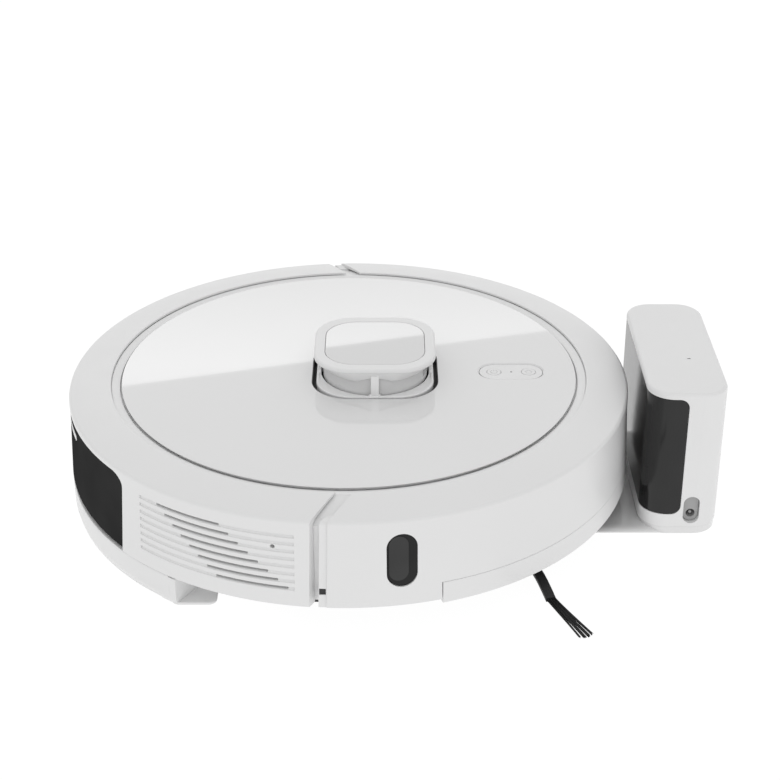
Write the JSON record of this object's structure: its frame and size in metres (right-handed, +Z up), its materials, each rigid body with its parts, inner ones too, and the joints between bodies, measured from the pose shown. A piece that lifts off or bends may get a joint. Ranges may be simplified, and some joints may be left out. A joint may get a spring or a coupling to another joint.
{
  "type": "robotic floor cleaner",
  "caption": "Round robot vacuum and mop with a lidar turret, rear tank, mop bracket and side brush, parked on its small upright charging dock.",
  "frame": {"origin": "centre of the footprint of robot and dock, on the floor", "axes": "+X forward from the robot to the dock, +Y to the robot's left, +Z up"},
  "size_m": [0.4059, 0.3545, 0.1004],
  "materials": {
    "satin_white": "satin",
    "gloss_white": "high gloss",
    "dark_plastic": "fine moulded texture",
    "grey_plastic": "satin",
    "smoked_plastic": "polished, smoked",
    "rubber": "matt",
    "bristle": "nylon fibre",
    "cloth": "microfibre",
    "metal": "plated",
    "board": "solder mask",
    "cell_wrap": "shrink wrap"
  },
  "bodies": {
    "chassis": {"rear_shell": "satin_white", "base_pan": "dark_plastic", "bumper_frame": "dark_plastic", "bulkhead": "dark_plastic", "top_deck": "satin_white", "top_lid": "gloss_white", "button_panel": "satin_white", "charge_contact_left": "metal", "charge_contact_right": "metal", "lidar_base": "dark_plastic", "lidar_motor": "metal", "battery_pack": "cell_wrap", "battery_cover": "dark_plastic", "main_board": "board", "fan_housing": "dark_plastic", "brush_housing": "dark_plastic", "brush_guard": "grey_plastic", "brush_gearbox": "dark_plastic", "side_brush_motor": "dark_plastic", "caster_socket": "dark_plastic", "bumper_spring_left": "rubber", "bumper_spring_right": "rubber", "suspension_spring_left": "metal", "suspension_spring_right": "metal"},
    "bumper": {"bumper": "satin_white", "bumper_strip": "satin_white", "wall_sensor_window": "smoked_plastic"},
    "power_button": {"power_button": "satin_white"},
    "home_button": {"home_button": "satin_white"},
    "turret": {"turret_cage": "satin_white", "turret_top_panel": "gloss_white"},
    "lidar": {"lidar_drum": "grey_plastic"},
    "fan": {"fan_impeller": "grey_plastic"},
    "main_brush": {"brush_roller": "rubber"},
    "side_brush": {"side_brush_hub": "rubber", "bristle_tuft_1": "bristle", "bristle_tuft_2": "bristle", "bristle_tuft_3": "bristle"},
    "wheel_arm_left": {"suspension_arm_left": "dark_plastic"},
    "wheel_left": {"wheel_tyre_left": "rubber", "wheel_hub_left": "grey_plastic"},
    "wheel_arm_right": {"suspension_arm_right": "dark_plastic"},
    "wheel_right": {"wheel_tyre_right": "rubber", "wheel_hub_right": "grey_plastic"},
    "caster": {"caster_fork": "dark_plastic", "caster_axle": "metal"},
    "caster_roller": {"caster_wheel": "satin_white"},
    "tank": {"tank_body": "grey_plastic", "tank_window": "smoked_plastic", "tank_filter": "cloth"},
    "tank_release": {"tank_release": "satin_white"},
    "mop": {"mop_bracket": "satin_white", "mop_pad": "cloth"},
    "dock": {"dock_shell": "satin_white", "dock_panel": "smoked_plastic", "dock_base": "satin_white", "dock_power_inlet": "grey_plastic", "dock_light": "gloss_white"},
    "dock_pin_left": {"dock_contact_left": "metal"},
    "dock_pin_right": {"dock_contact_right": "metal"}
  },
  "joints": [
    {"name": "bumper_press", "type": "slide", "parent": "chassis", "child": "bumper", "axis": [-1, 0, 0], "range_m": [0, 0.003], "stiffness_N_per_m": 300, "springref_m": -0.003, "deforming": ["bumper_spring_left", "bumper_spring_right"]},
    {"name": "power_button_press", "type": "slide", "parent": "chassis", "child": "power_button", "axis": [0, 0, -1], "range_m": [0, 0.0006], "stiffness_N_per_m": 400, "springref_m": -0.001},
    {"name": "home_button_press", "type": "slide", "parent": "chassis", "child": "home_button", "axis": [0, 0, -1], "range_m": [0, 0.0006], "stiffness_N_per_m": 400, "springref_m": -0.001},
    {"name": "turret_press", "type": "slide", "parent": "chassis", "child": "turret", "axis": [0, 0, -1], "range_m": [0, 0.001], "stiffness_N_per_m": 1500, "springref_m": -0.002},
    {"name": "lidar_spin", "type": "hinge", "parent": "chassis", "child": "lidar", "pos_m": [-0.0107, 0.001, 0.08], "axis": [0, 0, 1], "continuous": true},
    {"name": "fan_spin", "type": "hinge", "parent": "chassis", "child": "fan", "pos_m": [-0.037, 0.052, 0.056], "axis": [0, 0, 1], "continuous": true},
    {"name": "main_brush_spin", "type": "hinge", "parent": "chassis", "child": "main_brush", "pos_m": [-0.033, 0, 0.0225], "axis": [0, 1, 0], "continuous": true},
    {"name": "side_brush_spin", "type": "hinge", "parent": "chassis", "child": "side_brush", "pos_m": [0.076, -0.099, 0.008], "axis": [0, 0, 1], "continuous": true},
    {"name": "wheel_drop_left", "type": "hinge", "parent": "chassis", "child": "wheel_arm_left", "pos_m": [0.019, 0.115, 0.04], "axis": [0, -1, 0], "range_deg": [0, 22], "stiffness_Nm_per_rad": 0.6, "springref_deg": 51.57, "deforming": ["suspension_spring_left"]},
    {"name": "wheel_spin_left", "type": "hinge", "parent": "wheel_arm_left", "child": "wheel_left", "pos_m": [-0.029, 0.115, 0.035], "axis": [0, 1, 0], "continuous": true},
    {"name": "wheel_drop_right", "type": "hinge", "parent": "chassis", "child": "wheel_arm_right", "pos_m": [0.019, -0.115, 0.04], "axis": [0, -1, 0], "range_deg": [0, 22], "stiffness_Nm_per_rad": 0.6, "springref_deg": 51.57, "deforming": ["suspension_spring_right"]},
    {"name": "wheel_spin_right", "type": "hinge", "parent": "wheel_arm_right", "child": "wheel_right", "pos_m": [-0.029, -0.115, 0.035], "axis": [0, 1, 0], "continuous": true},
    {"name": "caster_swivel", "type": "hinge", "parent": "chassis", "child": "caster", "pos_m": [0.085, 0, 0.03], "axis": [0, 0, 1], "continuous": true},
    {"name": "caster_spin", "type": "hinge", "parent": "caster", "child": "caster_roller", "pos_m": [0.079, 0, 0.013], "axis": [0, 1, 0], "continuous": true},
    {"name": "tank_slide", "type": "slide", "parent": "chassis", "child": "tank", "axis": [-1, 0, 0], "range_m": [0, 0.15]},
    {"name": "tank_release_press", "type": "slide", "parent": "tank", "child": "tank_release", "axis": [1, 0, 0], "range_m": [0, 0.0015], "stiffness_N_per_m": 500, "springref_m": -0.001},
    {"name": "mop_slide", "type": "slide", "parent": "tank", "child": "mop", "axis": [-1, 0, 0], "range_m": [0, 0.12]},
    {"name": "dock_leave", "type": "slide", "parent": "chassis", "child": "dock", "axis": [1, 0, 0], "range_m": [0, 0.3]},
    {"name": "dock_pin_press_left", "type": "slide", "parent": "dock", "child": "dock_pin_left", "axis": [0, 0, -1], "range_m": [0, 0.0015], "stiffness_N_per_m": 500, "springref_m": -0.001},
    {"name": "dock_pin_press_right", "type": "slide", "parent": "dock", "child": "dock_pin_right", "axis": [0, 0, -1], "range_m": [0, 0.0015], "stiffness_N_per_m": 500, "springref_m": -0.001}
  ]
}
